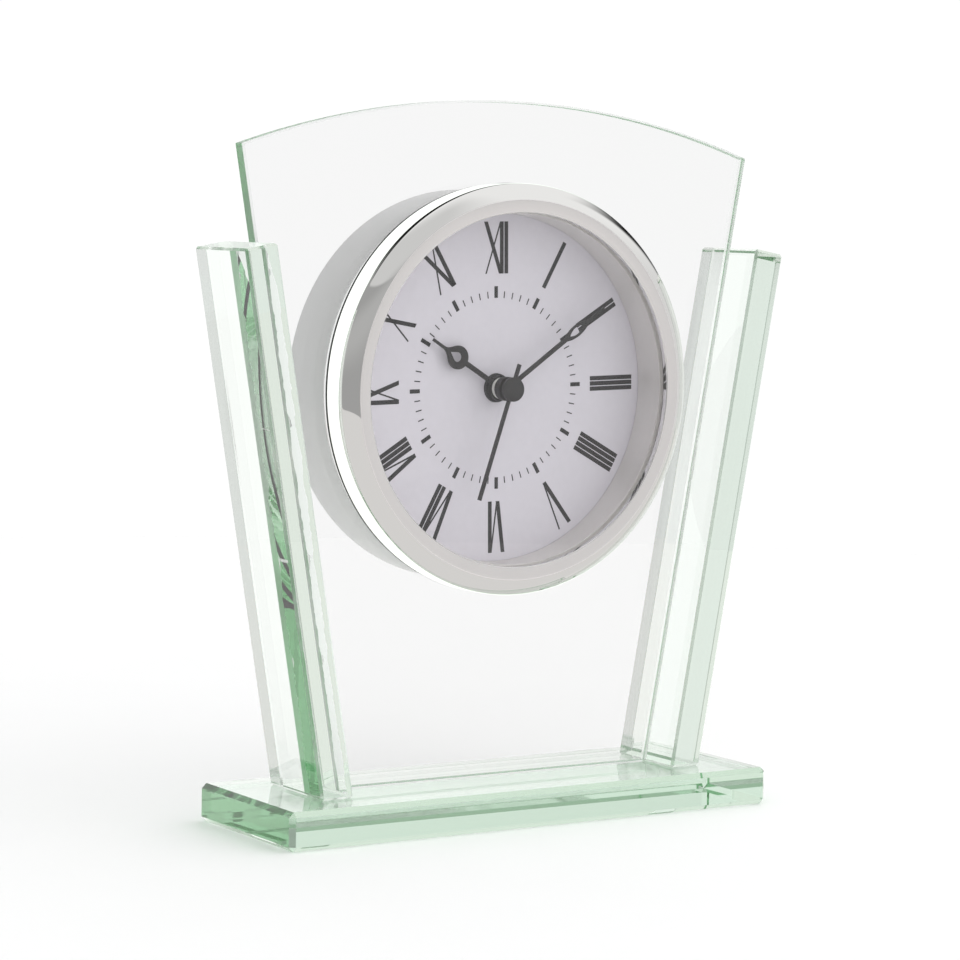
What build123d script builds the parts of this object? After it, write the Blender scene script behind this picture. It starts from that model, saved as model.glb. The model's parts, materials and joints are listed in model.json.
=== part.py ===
from build123d import *
import math
import os

# Glass mantel clock, millimetres. X is to the viewer's right, Y runs to the back and Z is up.
# The origin is the middle of the base's underside.
# Depths (names ending in _front or _back) are Y values; the panel's middle plane is at Y = 0.

# Glass stand
base_width = 138.0
base_depth = 45.0
base_height = 9.3
base_chamfer = 1.2
panel_thickness = 4.0
panel_foot_half = 46.4
panel_shoulder_half = 73.0
panel_shoulder_z = 162.6
panel_crown_z = 174.8
panel_chamfer = 0.5
column_width = 8.6
column_depth = 25.0
column_top_z = 140.0
column_chamfer = 0.6

# Clock head: bezel in front of the panel, drum through it
head_z = 105.0
hole_radius = 48.9
drum_radius = 48.2
drum_wall = 0.8
drum_front = -7.3
drum_back = 20.6
sleeve_gap = 0.05
gasket_radius = 49.9
bezel_radius = 50.0
bezel_bore = 48.3
bezel_back = -2.9
bezel_edge = -9.1
bezel_front = -11.6
bezel_rim_outer = 45.9
bezel_rim_inner = 42.9
bezel_rim_slope = 0.35
bezel_bulge = 0.24
bezel_edge_radius = 1.6
bezel_lip_back = -9.8
lens_radius = 44.2
lens_front = -9.7
lens_back = -7.9
lens_gap = 0.1
reflector_inner = 42.6
reflector_outer = 43.8
reflector_front = -7.8
reflector_flange_front = 0.4
dial_radius = 47.2
dial_front = 1.5
dial_thickness = 0.6
dial_hole = 3.6
stack_gap = 0.1

# Holder and back cover
holder_flange_back = 3.7
holder_hole = 7.0
holder_wall = 1.0
holder_back = 19.0
boss_pitch_radius = 42.5
boss_radius = 3.0
boss_count = 3
boss_first_angle = 90.0
pilot_radius = 0.9
pilot_depth = 8.0
cover_thickness = 1.4
cover_window = 58.0
cover_window_corner = 2.0
cover_screw_hole = 1.3
screw_head_radius = 2.2
screw_head_height = 1.2
screw_shank_radius = 0.85
screw_shank_length = 7.0
screw_slot_width = 0.6
screw_slot_depth = 0.6

# Movement case
case_size = 56.0
case_front = 3.8
case_front_wall = 1.2
case_back = 18.6
case_back_wall = 1.4
case_side_wall = 1.4
case_corner = 2.5
collar_radius = 3.5
collar_front = 0.9
running_gap = 0.08
pivot_radius = 0.4
pivot_hole = 0.46
pivot_depth = 0.9
pivot_end_gap = 0.2
divider_top = -11.0
divider_bottom = -11.9

# Battery bay, battery and its contacts
battery_radius = 7.1
battery_z = -19.4
battery_y = 11.45
battery_minus_x = -24.7
battery_plus_x = 24.5
battery_nub_radius = 2.7
battery_nub_length = 1.3
battery_edge = 0.6
bay_half_width = 26.4
bay_bottom = -26.4
bay_top = -12.1
bay_front_slot = 4.2
contact_thickness = 0.4
contact_half_width = 5.0
contact_half_depth = 4.5
spring_base_radius = 4.2
spring_tip_radius = 2.2

# Tooth form, in modules and in parts of the tooth pitch
tooth_addendum = 0.75
tooth_dedendum = 1.0
tooth_share = 0.40
tooth_tip_share = 0.5
tooth_root_share = 1.45

# Gear trains: tooth counts and modules
rotor_teeth = 8
intermediate_teeth = 48
rotor_module = 0.30
intermediate_pinion_teeth = 8
seconds_teeth = 40
seconds_module = 0.45
seconds_pinion_teeth = 8
third_teeth = 60
third_module = 0.32
third_pinion_teeth = 8
centre_teeth = 64
cannon_teeth = 12
motion_teeth = 36
motion_module = 0.50
motion_pinion_teeth = 10
hour_teeth = 40
intermediate_angle = 60.0
rotor_angle = 30.0
third_angle = 180.0
motion_angle = 0.0

# Depths of the wheels, front to back
hour_wheel_front = 5.2
hour_wheel_back = 5.9
motion_pinion_front = 5.15
motion_pinion_back = 6.1
motion_wheel_front = 6.3
motion_wheel_back = 7.0
cannon_front = 6.2
cannon_back = 7.1
clutch_front = 7.15
clutch_back = 7.4
centre_wheel_front = 7.5
centre_wheel_back = 8.2
third_pinion_front = 7.4
third_pinion_back = 8.3
minute_flange_front = 8.28
minute_flange_back = 8.5
third_wheel_front = 8.8
third_wheel_back = 9.5
seconds_pinion_front = 8.7
seconds_pinion_back = 9.6
seconds_wheel_front = 10.2
seconds_wheel_back = 10.9
intermediate_pinion_front = 10.1
intermediate_pinion_back = 11.0
intermediate_wheel_front = 11.5
intermediate_wheel_back = 12.2
rotor_pinion_front = 11.4
rotor_pinion_back = 12.3
magnet_front = 12.9
magnet_back = 14.7

# Arbors and tubes on the hands' axis
seconds_arbor_radius = 0.5
seconds_arbor_front = -5.7
minute_tube_radius = 1.70
minute_tube_front = -3.9
minute_flange_radius = 2.6
hour_tube_radius = 2.60
hour_tube_front = -1.5
clutch_radius = 3.4
motion_arbor_radius = 1.0
motion_arbor_back = 20.2
rotor_hub_radius = 0.8
press_gap = 0.02
magnet_radius = 2.6
wheel_hub_radius = 0.85

# Motor and electronics
stator_front = 13.3
stator_thickness = 1.0
stator_hole = 3.1
stator_outline = [(8.2, 9.4), (17.2, 9.4), (24.0, 15.0), (24.0, 24.3), (20.0, 24.3),
                  (20.0, 17.8), (6.0, 17.8), (6.0, 24.3), (2.0, 24.3), (2.0, 15.0)]
core_z = 22.4
core_height = 3.0
core_x = (2.0, 24.0)
coil_x = (6.6, 19.4)
coil_radius = 2.55
bobbin_radius = 1.9
bobbin_flange_radius = 2.8
bobbin_flange = 0.8
bobbin_bore_gap = 0.1
board_x = (-25.0, -1.2)
board_z = (11.5, 25.5)
board_front = 14.9
board_thickness = 0.8
board_post_radius = 1.3
board_posts = [(-22.0, 23.0), (-4.5, 13.5)]
chip_centre = (-8.5, 19.0)
chip_size = 5.0
chip_height = 1.0
crystal_centre = (-17.5, 18.5)
crystal_radius = 0.95
crystal_length = 6.0

# Setting knob
knob_radius = 7.5
knob_front = 18.9
knob_back = 20.4
knob_grooves = 28
knob_groove_radius = 0.35

# Hands, measured along each hand from its axis; the clock shows about 10:09:33.
# The insert sits turned a little to the left in its hole, so each angle is short by that much.
insert_turn = 1.4
hour_angle = 302.9 - insert_turn
minute_angle = 56.5 - insert_turn
seconds_angle = 199.7 - insert_turn
hand_thickness = 0.4
hour_hand_front = -0.6
hour_hub_radius = 3.1
hour_hub_back = 0.4
hour_stem_half = 0.6
hour_pear_centre = 14.6
hour_pear_radius = 2.9
hour_pear_shoulder = 35.0
hour_pear_end = 19.6
hour_hole_centre = 14.8
hour_hole_radius = 1.2
hour_hole_point = 17.2
hour_tip_half = 0.35
hour_length = 23.0
minute_hand_front = -3.6
minute_hub_radius = 2.95
minute_hub_front = -4.2
minute_hub_back = -2.2
minute_stem_half = 0.55
minute_leaf = (19.8, 29.4)
minute_leaf_half = 1.4
minute_opening = (22.2, 27.0)
minute_opening_half = 0.87
minute_tip_half = 0.35
minute_length = 34.5
seconds_hand_front = -5.8
seconds_hub_radius = 2.95
seconds_hub_thickness = 0.7
seconds_stem_half = 0.5
seconds_length = 28.2
seconds_tail = 6.4
seconds_pipe_radius = 1.3
seconds_pipe_length = 1.2

# Derived depths and places
dial_back = dial_front + dial_thickness
holder_front = dial_back + stack_gap
case_inner_front = case_front + case_front_wall
case_inner_back = case_back - case_back_wall
cover_front = holder_back + stack_gap
cover_back = cover_front + cover_thickness
arbor_front = case_inner_front - pivot_depth + pivot_end_gap
arbor_back = case_inner_back + pivot_depth - pivot_end_gap
hour_module = motion_module * (cannon_teeth + motion_teeth) / (motion_pinion_teeth + hour_teeth)
centre_module = third_module * (seconds_pinion_teeth + third_teeth) / (third_pinion_teeth + centre_teeth)
minute_bore = seconds_arbor_radius + running_gap
hour_bore = minute_tube_radius + running_gap
taper = math.atan((panel_shoulder_half - panel_foot_half) / (panel_shoulder_z - base_height))


def polar(radius, degrees):
    """Point at a distance and an angle from the hands' axis, X right and Z up."""
    turn = math.radians(degrees)
    return (radius * math.cos(turn), radius * math.sin(turn))


def mesh_distance(module, teeth_a, teeth_b):
    """Distance between the axes of two meshed gears."""
    return module * (teeth_a + teeth_b) / 2


def beyond(point, radius, degrees):
    """Point reached from another one by a distance and an angle."""
    step = polar(radius, degrees)
    return (point[0] + step[0], point[1] + step[1])


hands_axis = (0.0, 0.0)
intermediate_axis = polar(mesh_distance(seconds_module, intermediate_pinion_teeth, seconds_teeth),
                          intermediate_angle)
rotor_axis = beyond(intermediate_axis, mesh_distance(rotor_module, rotor_teeth, intermediate_teeth),
                    rotor_angle)
third_axis = polar(mesh_distance(third_module, seconds_pinion_teeth, third_teeth), third_angle)
motion_axis = polar(mesh_distance(motion_module, cannon_teeth, motion_teeth), motion_angle)
boss_axes = [polar(boss_pitch_radius, boss_first_angle + k * 360.0 / boss_count)
             for k in range(boss_count)]


def slab(profile, front, back, height=head_z):
    """Solid of a flat outline (X right, Z up from the given height) between two depths."""
    return Pos(0, back, height) * (Plane.XZ * extrude(profile, back - front))


def rod(radius, front, back, axis=hands_axis):
    """Round bar along Y."""
    return slab(Pos(*axis) * Circle(radius), front, back)


def tube(outer, inner, front, back, axis=hands_axis):
    """Hollow round bar along Y."""
    return slab(Pos(*axis) * (Circle(outer) - Circle(inner)), front, back)


def block(x_range, z_range, front, back):
    """Rectangular bar between X, Z (from the hands' axis) and Y limits."""
    middle = ((x_range[0] + x_range[1]) / 2, (z_range[0] + z_range[1]) / 2)
    outline = Rectangle(x_range[1] - x_range[0], z_range[1] - z_range[0])
    return slab(Pos(*middle) * outline, front, back)


def turned(points):
    """Body of revolution about the hands' axis from (radius, depth) points."""
    return Pos(0, 0, head_z) * revolve(make_face(Polyline(*points, close=True)), Axis.Y)


def gear(teeth, module, front, back, axis=hands_axis, towards=0.0, tooth_on_line=True):
    """Toothed disc with straight flanks; a tooth or a gap lies on the line at the given angle."""
    pitch_radius = teeth * module / 2
    tip_radius = pitch_radius + tooth_addendum * module
    root_radius = pitch_radius - tooth_dedendum * module
    half_tooth = tooth_share * 180.0 / teeth
    first = towards if tooth_on_line else towards + 180.0 / teeth
    corners = [(root_radius, -tooth_root_share), (tip_radius, -tooth_tip_share),
               (tip_radius, tooth_tip_share), (root_radius, tooth_root_share)]
    points = []
    for tooth in range(teeth):
        middle = first + tooth * 360.0 / teeth
        points += [polar(radius, middle + share * half_tooth) for radius, share in corners]
    return slab(Pos(*axis) * make_face(Polyline(*points, close=True)), front, back)


def save(shape, node):
    """Write one node."""
    export_step(shape, f"parts/{node}.step")


def glass_base():
    """Slab with a polished chamfer on every edge."""
    slab_box = Pos(0, 0, base_height / 2) * Box(base_width, base_depth, base_height)
    return chamfer(slab_box.edges(), base_chamfer)


def glass_panel():
    """Tapered panel with an arched top, ground edges and the hole for the drum."""
    foot_left = (-panel_foot_half, base_height)
    foot_right = (panel_foot_half, base_height)
    shoulder_right = (panel_shoulder_half, panel_shoulder_z)
    shoulder_left = (-panel_shoulder_half, panel_shoulder_z)
    sides = Polyline(shoulder_left, foot_left, foot_right, shoulder_right)
    crown = ThreePointArc(shoulder_right, (0, panel_crown_z), shoulder_left)
    plate = slab(make_face(sides + crown), -panel_thickness / 2, panel_thickness / 2, height=0)
    rims = [edge for face in plate.faces().filter_by(Axis.Y) for edge in face.edges()]
    plate = chamfer(rims, panel_chamfer)
    return plate - rod(hole_radius, -panel_thickness, panel_thickness)


def right_column():
    """Bar along the panel's slanted edge, its foot cut level and its head cut square."""
    inner_top_x = panel_foot_half + (column_top_z - base_height) * math.tan(taper)
    outer_top_x = inner_top_x + column_width * math.cos(taper)
    outer_top_z = column_top_z - column_width * math.sin(taper)
    outer_foot_x = panel_foot_half + column_width / math.cos(taper)
    outline = Polyline((panel_foot_half, base_height), (outer_foot_x, base_height),
                       (outer_top_x, outer_top_z), (inner_top_x, column_top_z), close=True)
    bar = slab(make_face(outline), -column_depth / 2, column_depth / 2, height=0)
    return chamfer(bar.edges(), column_chamfer)


def bezel():
    """Ring with a straight side, a gently rounded bevel and a flat rim around the crystal."""
    seat_radius = lens_radius + lens_gap
    seat_back = drum_front - stack_gap
    side_edge = (bezel_radius, bezel_edge)
    rim_edge = (bezel_rim_outer, bezel_front)
    rim_slope_end = (bezel_rim_inner, bezel_front + bezel_rim_slope)
    walls = Polyline(rim_edge, rim_slope_end, (bezel_rim_inner, bezel_lip_back),
                     (seat_radius, bezel_lip_back), (seat_radius, seat_back), (bezel_bore, seat_back),
                     (bezel_bore, bezel_back), (bezel_radius, bezel_back), side_edge)
    bevel = SagittaArc(side_edge, rim_edge, bezel_bulge)
    section = make_face(walls + bevel)
    section = fillet(section.vertices().sort_by_distance(side_edge)[0], bezel_edge_radius)
    return Pos(0, 0, head_z) * revolve(section, Axis.Y)


def reflector_ring():
    """Thin wall between crystal and dial, with a flange that presses on the dial."""
    flange_back = dial_front - stack_gap
    return turned([(reflector_inner, reflector_front), (reflector_outer, reflector_front),
                   (reflector_outer, reflector_flange_front), (dial_radius, reflector_flange_front),
                   (dial_radius, flange_back), (reflector_inner, flange_back)])


def movement_holder():
    """Cup behind the dial with a centre hole and bosses for the cover screws."""
    holder = tube(dial_radius, holder_hole, holder_front, holder_flange_back)
    holder += tube(dial_radius, dial_radius - holder_wall, holder_flange_back, holder_back)
    for axis in boss_axes:
        holder += rod(boss_radius, holder_flange_back, holder_back, axis)
        holder -= rod(pilot_radius, holder_back - pilot_depth, holder_back, axis)
    return holder


def back_cover():
    """Round plate with a square window for the movement's back and screw holes."""
    window = RectangleRounded(cover_window, cover_window, cover_window_corner)
    outline = Circle(dial_radius) - window
    for axis in boss_axes:
        outline -= Pos(*axis) * Circle(cover_screw_hole)
    return slab(outline, cover_front, cover_back)


def cover_screws():
    """Slotted screws that hold the back cover on the holder's bosses."""
    screws = []
    head_back = cover_back + screw_head_height
    for axis in boss_axes:
        screw = rod(screw_head_radius, cover_back, head_back, axis)
        screw += rod(screw_shank_radius, cover_back - screw_shank_length, cover_back, axis)
        slot = Pos(*axis) * Rectangle(2 * screw_head_radius, screw_slot_width)
        screws.append(screw - slab(slot, head_back - screw_slot_depth, head_back))
    return Compound(children=screws)


def movement_front_plate():
    """Front half of the case: plate, collar for the hour tube and blind holes for the arbors."""
    plate = slab(RectangleRounded(case_size, case_size, case_corner), case_front, case_inner_front)
    plate += rod(collar_radius, collar_front, case_front)
    plate -= rod(hour_tube_radius + running_gap, collar_front, case_inner_front)
    slot_z = (battery_z - bay_front_slot, battery_z + bay_front_slot)
    plate -= block((-bay_half_width, bay_half_width), slot_z, case_front, case_inner_front)
    for axis in (intermediate_axis, rotor_axis, third_axis, motion_axis):
        plate -= rod(pivot_hole, case_inner_front - pivot_depth, case_inner_front, axis)
    return plate


def movement_rear_housing():
    """Rear half of the case: box with a battery bay open to the back, arbor holes and board posts."""
    inner = case_size - 2 * case_side_wall
    housing = slab(RectangleRounded(case_size, case_size, case_corner), case_inner_front, case_back)
    housing -= slab(Rectangle(inner, inner), case_inner_front, case_inner_back)
    housing += block((-inner / 2, inner / 2), (divider_bottom, divider_top),
                     case_inner_front, case_inner_back)
    housing -= block((-bay_half_width, bay_half_width), (bay_bottom, bay_top),
                     case_inner_back, case_back)
    for axis in board_posts:
        housing += rod(board_post_radius, board_front + board_thickness, case_inner_back, axis)
    for axis in (intermediate_axis, rotor_axis, third_axis):
        housing -= rod(pivot_hole, case_inner_back, case_inner_back + pivot_depth, axis)
    housing -= rod(seconds_arbor_radius + running_gap, case_inner_back, case_inner_back + pivot_depth)
    housing -= rod(motion_arbor_radius + running_gap, case_inner_back, case_back, motion_axis)
    return housing


def along_x(radius, x_start, x_end, depth, z):
    """Round bar along X at a depth and a height from the hands' axis."""
    return Pos(x_start, depth, head_z + z) * (Plane.YZ * extrude(Circle(radius), x_end - x_start))


def battery():
    """Round cell lying along X with its contact nub."""
    cell = along_x(battery_radius, battery_minus_x, battery_plus_x, battery_y, battery_z)
    cell = chamfer(cell.edges().filter_by(GeomType.CIRCLE), battery_edge)
    nub_end = battery_plus_x + battery_nub_length
    return cell + along_x(battery_nub_radius, battery_plus_x, nub_end, battery_y, battery_z)


def contact_plate(x_start):
    """Upright strip at one end of the battery bay."""
    z_range = (battery_z - contact_half_width, bay_top)
    depth = (battery_y - contact_half_depth, battery_y + contact_half_depth)
    return block((x_start, x_start + contact_thickness), z_range, *depth)


def negative_spring():
    """Strip with a blunt cone that presses on the cell's flat end."""
    strip_end = -bay_half_width + contact_thickness
    cone_length = battery_minus_x - stack_gap - strip_end
    standing = (Align.CENTER, Align.CENTER, Align.MIN)
    cone = Cone(spring_base_radius, spring_tip_radius, cone_length, align=standing)
    place = Pos(strip_end, battery_y, head_z + battery_z) * Rot(0, 90, 0)
    return contact_plate(-bay_half_width) + place * cone


def stator():
    """Forked plate around the rotor; its arms carry the coil's core."""
    plate = make_face(Polyline(*stator_outline, close=True)) - Pos(*rotor_axis) * Circle(stator_hole)
    return slab(plate, stator_front, stator_front + stator_thickness)


def core_depths():
    """Front and back of the coil's core, which lies on the stator's arms."""
    return (stator_front - stator_thickness, stator_front)


def coil_core():
    """Flat bar through the coil."""
    return block(core_x, (core_z - core_height / 2, core_z + core_height / 2), *core_depths())


def coil_bobbin():
    """Flanged spool with a flat bore for the core."""
    front, back = core_depths()
    depth = (front + back) / 2
    spool = along_x(bobbin_radius, *coil_x, depth, core_z)
    spool += along_x(bobbin_flange_radius, coil_x[0], coil_x[0] + bobbin_flange, depth, core_z)
    spool += along_x(bobbin_flange_radius, coil_x[1] - bobbin_flange, coil_x[1], depth, core_z)
    half_bore = core_height / 2 + bobbin_bore_gap
    spool -= block(core_x, (core_z - half_bore, core_z + half_bore), front - bobbin_bore_gap,
                   back + bobbin_bore_gap)
    return spool


def coil_winding():
    """Wire wound between the bobbin's flanges."""
    depth = sum(core_depths()) / 2
    ends = (coil_x[0] + bobbin_flange, coil_x[1] - bobbin_flange)
    return along_x(coil_radius, *ends, depth, core_z) - along_x(bobbin_radius, *ends, depth, core_z)


def intermediate_wheel():
    """Wheel, pinion and arbor between the rotor and the seconds wheel."""
    wheel = gear(intermediate_teeth, rotor_module, intermediate_wheel_front, intermediate_wheel_back,
                 intermediate_axis, rotor_angle)
    wheel += gear(intermediate_pinion_teeth, seconds_module, intermediate_pinion_front,
                  intermediate_pinion_back, intermediate_axis, intermediate_angle + 180.0)
    wheel += rod(wheel_hub_radius, intermediate_pinion_back, intermediate_wheel_front, intermediate_axis)
    return wheel + rod(pivot_radius, arbor_front, arbor_back, intermediate_axis)


def rotor():
    """Rotor's moulded pinion and hub on its arbor."""
    body = gear(rotor_teeth, rotor_module, rotor_pinion_front, rotor_pinion_back, rotor_axis,
                rotor_angle + 180.0, tooth_on_line=False)
    body += rod(rotor_hub_radius, rotor_pinion_back, magnet_back, rotor_axis)
    return body + rod(pivot_radius, arbor_front, arbor_back, rotor_axis)


def seconds_wheel():
    """Wheel and pinion pressed on the seconds arbor."""
    wheel = gear(seconds_teeth, seconds_module, seconds_wheel_front, seconds_wheel_back, hands_axis,
                 intermediate_angle, tooth_on_line=False)
    wheel += gear(seconds_pinion_teeth, third_module, seconds_pinion_front, seconds_pinion_back,
                  hands_axis, third_angle)
    wheel += rod(wheel_hub_radius, seconds_pinion_back, seconds_wheel_front)
    return wheel - rod(seconds_arbor_radius + press_gap, seconds_pinion_front, seconds_wheel_back)


def third_wheel():
    """Wheel, pinion and arbor between the seconds pinion and the centre wheel."""
    wheel = gear(third_teeth, third_module, third_wheel_front, third_wheel_back, third_axis,
                 third_angle + 180.0, tooth_on_line=False)
    wheel += gear(third_pinion_teeth, centre_module, third_pinion_front, third_pinion_back, third_axis,
                  third_angle + 180.0)
    wheel += rod(wheel_hub_radius, third_pinion_back, third_wheel_front, third_axis)
    return wheel + rod(pivot_radius, arbor_front, arbor_back, third_axis)


def centre_wheel():
    """Wheel that turns once an hour and slips on the minute arbor when the hands are set."""
    wheel = gear(centre_teeth, centre_module, centre_wheel_front, centre_wheel_back, hands_axis,
                 third_angle, tooth_on_line=False)
    return wheel - rod(hour_bore, centre_wheel_front, centre_wheel_back)


def minute_arbor():
    """Tube of the minute hand with the cannon pinion and an end flange."""
    arbor = rod(minute_tube_radius, minute_tube_front, minute_flange_back)
    arbor += gear(cannon_teeth, motion_module, cannon_front, cannon_back, hands_axis, motion_angle)
    arbor += rod(minute_flange_radius, minute_flange_front, minute_flange_back)
    return arbor - rod(minute_bore, minute_tube_front, minute_flange_back)


def motion_wheel():
    """Wheel, pinion and arbor of the motion work; the arbor reaches out of the back for the knob."""
    wheel = gear(motion_teeth, motion_module, motion_wheel_front, motion_wheel_back, motion_axis,
                 motion_angle + 180.0, tooth_on_line=False)
    wheel += gear(motion_pinion_teeth, hour_module, motion_pinion_front, motion_pinion_back, motion_axis,
                  motion_angle + 180.0)
    wheel += rod(motion_arbor_radius, motion_pinion_front, motion_arbor_back, motion_axis)
    return wheel + rod(pivot_radius, arbor_front, motion_pinion_front, motion_axis)


def set_knob():
    """Grooved thumb knob on the end of the motion wheel's arbor."""
    outline = Circle(knob_radius) - Circle(motion_arbor_radius + press_gap)
    for groove in range(knob_grooves):
        outline -= Pos(*polar(knob_radius, groove * 360.0 / knob_grooves)) * Circle(knob_groove_radius)
    return slab(Pos(*motion_axis) * outline, knob_front, knob_back)


def hour_wheel():
    """Wheel with the tube that carries the hour hand."""
    wheel = gear(hour_teeth, hour_module, hour_wheel_front, hour_wheel_back, hands_axis, motion_angle,
                 tooth_on_line=False)
    wheel += rod(hour_tube_radius, hour_tube_front, hour_wheel_back)
    return wheel - rod(hour_bore, hour_tube_front, hour_wheel_back)


def strip(half_width, start, end):
    """Straight stretch of a hand pointing to twelve."""
    return Pos(0, (start + end) / 2) * Rectangle(2 * half_width, end - start)


def teardrop(centre, radius, point):
    """Round drop with its point further along the hand."""
    reach = point - centre
    height = centre + radius * radius / reach
    half = radius * math.sqrt(1 - (radius / reach) ** 2)
    tip = make_face(Polyline((-half, height), (half, height), (0, point), close=True))
    return Pos(0, centre) * Circle(radius) + tip


def leaf(start, end, half_width):
    """Pointed oval made of two arcs."""
    middle = (start + end) / 2
    right = ThreePointArc((0, start), (half_width, middle), (0, end))
    left = ThreePointArc((0, end), (-half_width, middle), (0, start))
    return make_face(right + left)


def hand(outline, angle, front):
    """Flat hand turned clockwise from twelve."""
    return slab(Rot(0, 0, -angle) * outline, front, front + hand_thickness)


def pear(centre, radius, shoulder, end, end_half):
    """Disc whose flanks leave it at the shoulder angle and sweep into a slim end."""
    lift = math.radians(shoulder)
    start = (radius * math.cos(lift), centre + radius * math.sin(lift))
    leaving = (-math.sin(lift), math.cos(lift))
    right = Spline(start, (end_half, end), tangents=[leaving, (0, 1)])
    left = mirror(right, about=Plane.YZ)
    foot = Line((-start[0], start[1]), start)
    top = Line((end_half, end), (-end_half, end))
    return Pos(0, centre) * Circle(radius) + make_face(right + top + left + foot)


def hour_hand():
    """Hand with a pierced pear and a slim tip."""
    outline = Circle(hour_hub_radius) + strip(hour_stem_half, 0, hour_pear_centre)
    outline += pear(hour_pear_centre, hour_pear_radius, hour_pear_shoulder, hour_pear_end, hour_tip_half)
    outline += strip(hour_tip_half, hour_pear_centre + hour_pear_radius, hour_length)
    outline -= teardrop(hour_hole_centre, hour_hole_radius, hour_hole_point)
    flat = hand(outline, hour_angle, hour_hand_front)
    flat += rod(hour_hub_radius, hour_hand_front, hour_hub_back)
    return flat - rod(hour_tube_radius + press_gap, hour_hand_front, hour_hub_back)


def minute_hand():
    """Slim hand with an open leaf near its end."""
    outline = Circle(minute_hub_radius) + strip(minute_stem_half, 0, minute_opening[0])
    outline += leaf(*minute_leaf, minute_leaf_half)
    outline += strip(minute_tip_half, minute_opening[1], minute_length)
    outline -= leaf(*minute_opening, minute_opening_half)
    flat = hand(outline, minute_angle, minute_hand_front)
    flat += rod(minute_hub_radius, minute_hub_front, minute_hub_back)
    return flat - rod(minute_tube_radius + press_gap, minute_hub_front, minute_hub_back)


def seconds_hand():
    """Baton with a round cap over the arbor, a short tail and a pipe behind the cap."""
    outline = strip(seconds_stem_half, -seconds_tail, seconds_length)
    cap_front = seconds_hand_front - seconds_hub_thickness
    pipe_back = seconds_hand_front + hand_thickness + seconds_pipe_length
    piece = hand(outline, seconds_angle, seconds_hand_front)
    piece += rod(seconds_hub_radius, cap_front, seconds_hand_front + hand_thickness)
    piece += rod(seconds_pipe_radius, seconds_hand_front, pipe_back)
    return piece - rod(seconds_arbor_radius + press_gap, seconds_arbor_front - press_gap, pipe_back)


os.makedirs("parts", exist_ok=True)

column = right_column()
save(glass_base(), "glass_base")
save(glass_panel(), "glass_panel")
save(column, "right_column")
save(mirror(column, about=Plane.YZ), "left_column")

save(tube(hole_radius - sleeve_gap, drum_radius + sleeve_gap, -panel_thickness / 2, panel_thickness / 2),
     "hole_sleeve")
save(tube(gasket_radius, drum_radius + sleeve_gap, bezel_back, -panel_thickness / 2), "bezel_gasket")
save(tube(drum_radius, drum_radius - drum_wall, drum_front, drum_back), "drum_case")
save(bezel(), "bezel")
save(rod(lens_radius, lens_front, lens_back), "lens")
save(reflector_ring(), "reflector_ring")
save(tube(dial_radius, dial_hole, dial_front, dial_back), "dial")
save(movement_holder(), "movement_holder")
save(back_cover(), "back_cover")
save(cover_screws(), "cover_screws")

save(movement_front_plate(), "movement_front_plate")
save(movement_rear_housing(), "movement_rear_housing")
save(battery(), "battery")
save(contact_plate(bay_half_width - contact_thickness), "positive_contact")
save(negative_spring(), "negative_spring")
save(stator(), "stator")
save(coil_core(), "coil_core")
save(coil_bobbin(), "coil_bobbin")
save(coil_winding(), "coil_winding")
save(block(board_x, board_z, board_front, board_front + board_thickness), "circuit_board")
save(slab(Pos(*chip_centre) * Rectangle(chip_size, chip_size), board_front - chip_height, board_front),
     "driver_chip")
crystal_start = crystal_centre[0] - crystal_length / 2
save(along_x(crystal_radius, crystal_start, crystal_start + crystal_length, board_front - crystal_radius,
             crystal_centre[1]), "quartz_crystal")

save(rotor(), "rotor")
save(tube(magnet_radius, rotor_hub_radius + press_gap, magnet_front, magnet_back, rotor_axis),
     "rotor_magnet")
save(intermediate_wheel(), "intermediate_wheel")
save(seconds_wheel(), "seconds_wheel")
save(rod(seconds_arbor_radius, seconds_arbor_front, arbor_back), "seconds_arbor")
save(third_wheel(), "third_wheel")
save(centre_wheel(), "centre_wheel")
save(tube(clutch_radius, minute_tube_radius + press_gap, clutch_front, clutch_back), "clutch_spring")
save(minute_arbor(), "minute_arbor")
save(motion_wheel(), "motion_wheel")
save(set_knob(), "set_knob")
save(hour_wheel(), "hour_wheel")
save(hour_hand(), "hour_hand")
save(minute_hand(), "minute_hand")
save(seconds_hand(), "seconds_hand")
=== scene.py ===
import json
import math

import bmesh
import bpy
import numpy as np
from mathutils import Matrix, Vector


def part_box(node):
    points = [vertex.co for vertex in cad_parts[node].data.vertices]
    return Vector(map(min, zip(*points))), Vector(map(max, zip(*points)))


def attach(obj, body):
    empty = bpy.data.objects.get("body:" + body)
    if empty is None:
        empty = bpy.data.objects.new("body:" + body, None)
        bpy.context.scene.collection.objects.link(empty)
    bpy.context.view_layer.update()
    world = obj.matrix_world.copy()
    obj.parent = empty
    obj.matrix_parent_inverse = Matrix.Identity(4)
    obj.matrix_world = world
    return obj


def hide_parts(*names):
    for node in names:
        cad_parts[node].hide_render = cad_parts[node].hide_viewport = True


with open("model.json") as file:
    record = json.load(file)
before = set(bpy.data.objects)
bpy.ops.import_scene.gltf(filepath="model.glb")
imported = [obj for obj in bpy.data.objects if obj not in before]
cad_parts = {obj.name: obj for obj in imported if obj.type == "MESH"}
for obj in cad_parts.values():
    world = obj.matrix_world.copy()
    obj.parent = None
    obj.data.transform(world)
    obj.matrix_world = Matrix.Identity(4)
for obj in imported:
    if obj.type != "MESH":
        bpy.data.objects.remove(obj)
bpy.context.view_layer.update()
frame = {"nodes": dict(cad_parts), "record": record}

# Everything is in metres; sizes that are easier to read in millimetres are multiplied by mm.
mm = 0.001

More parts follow.
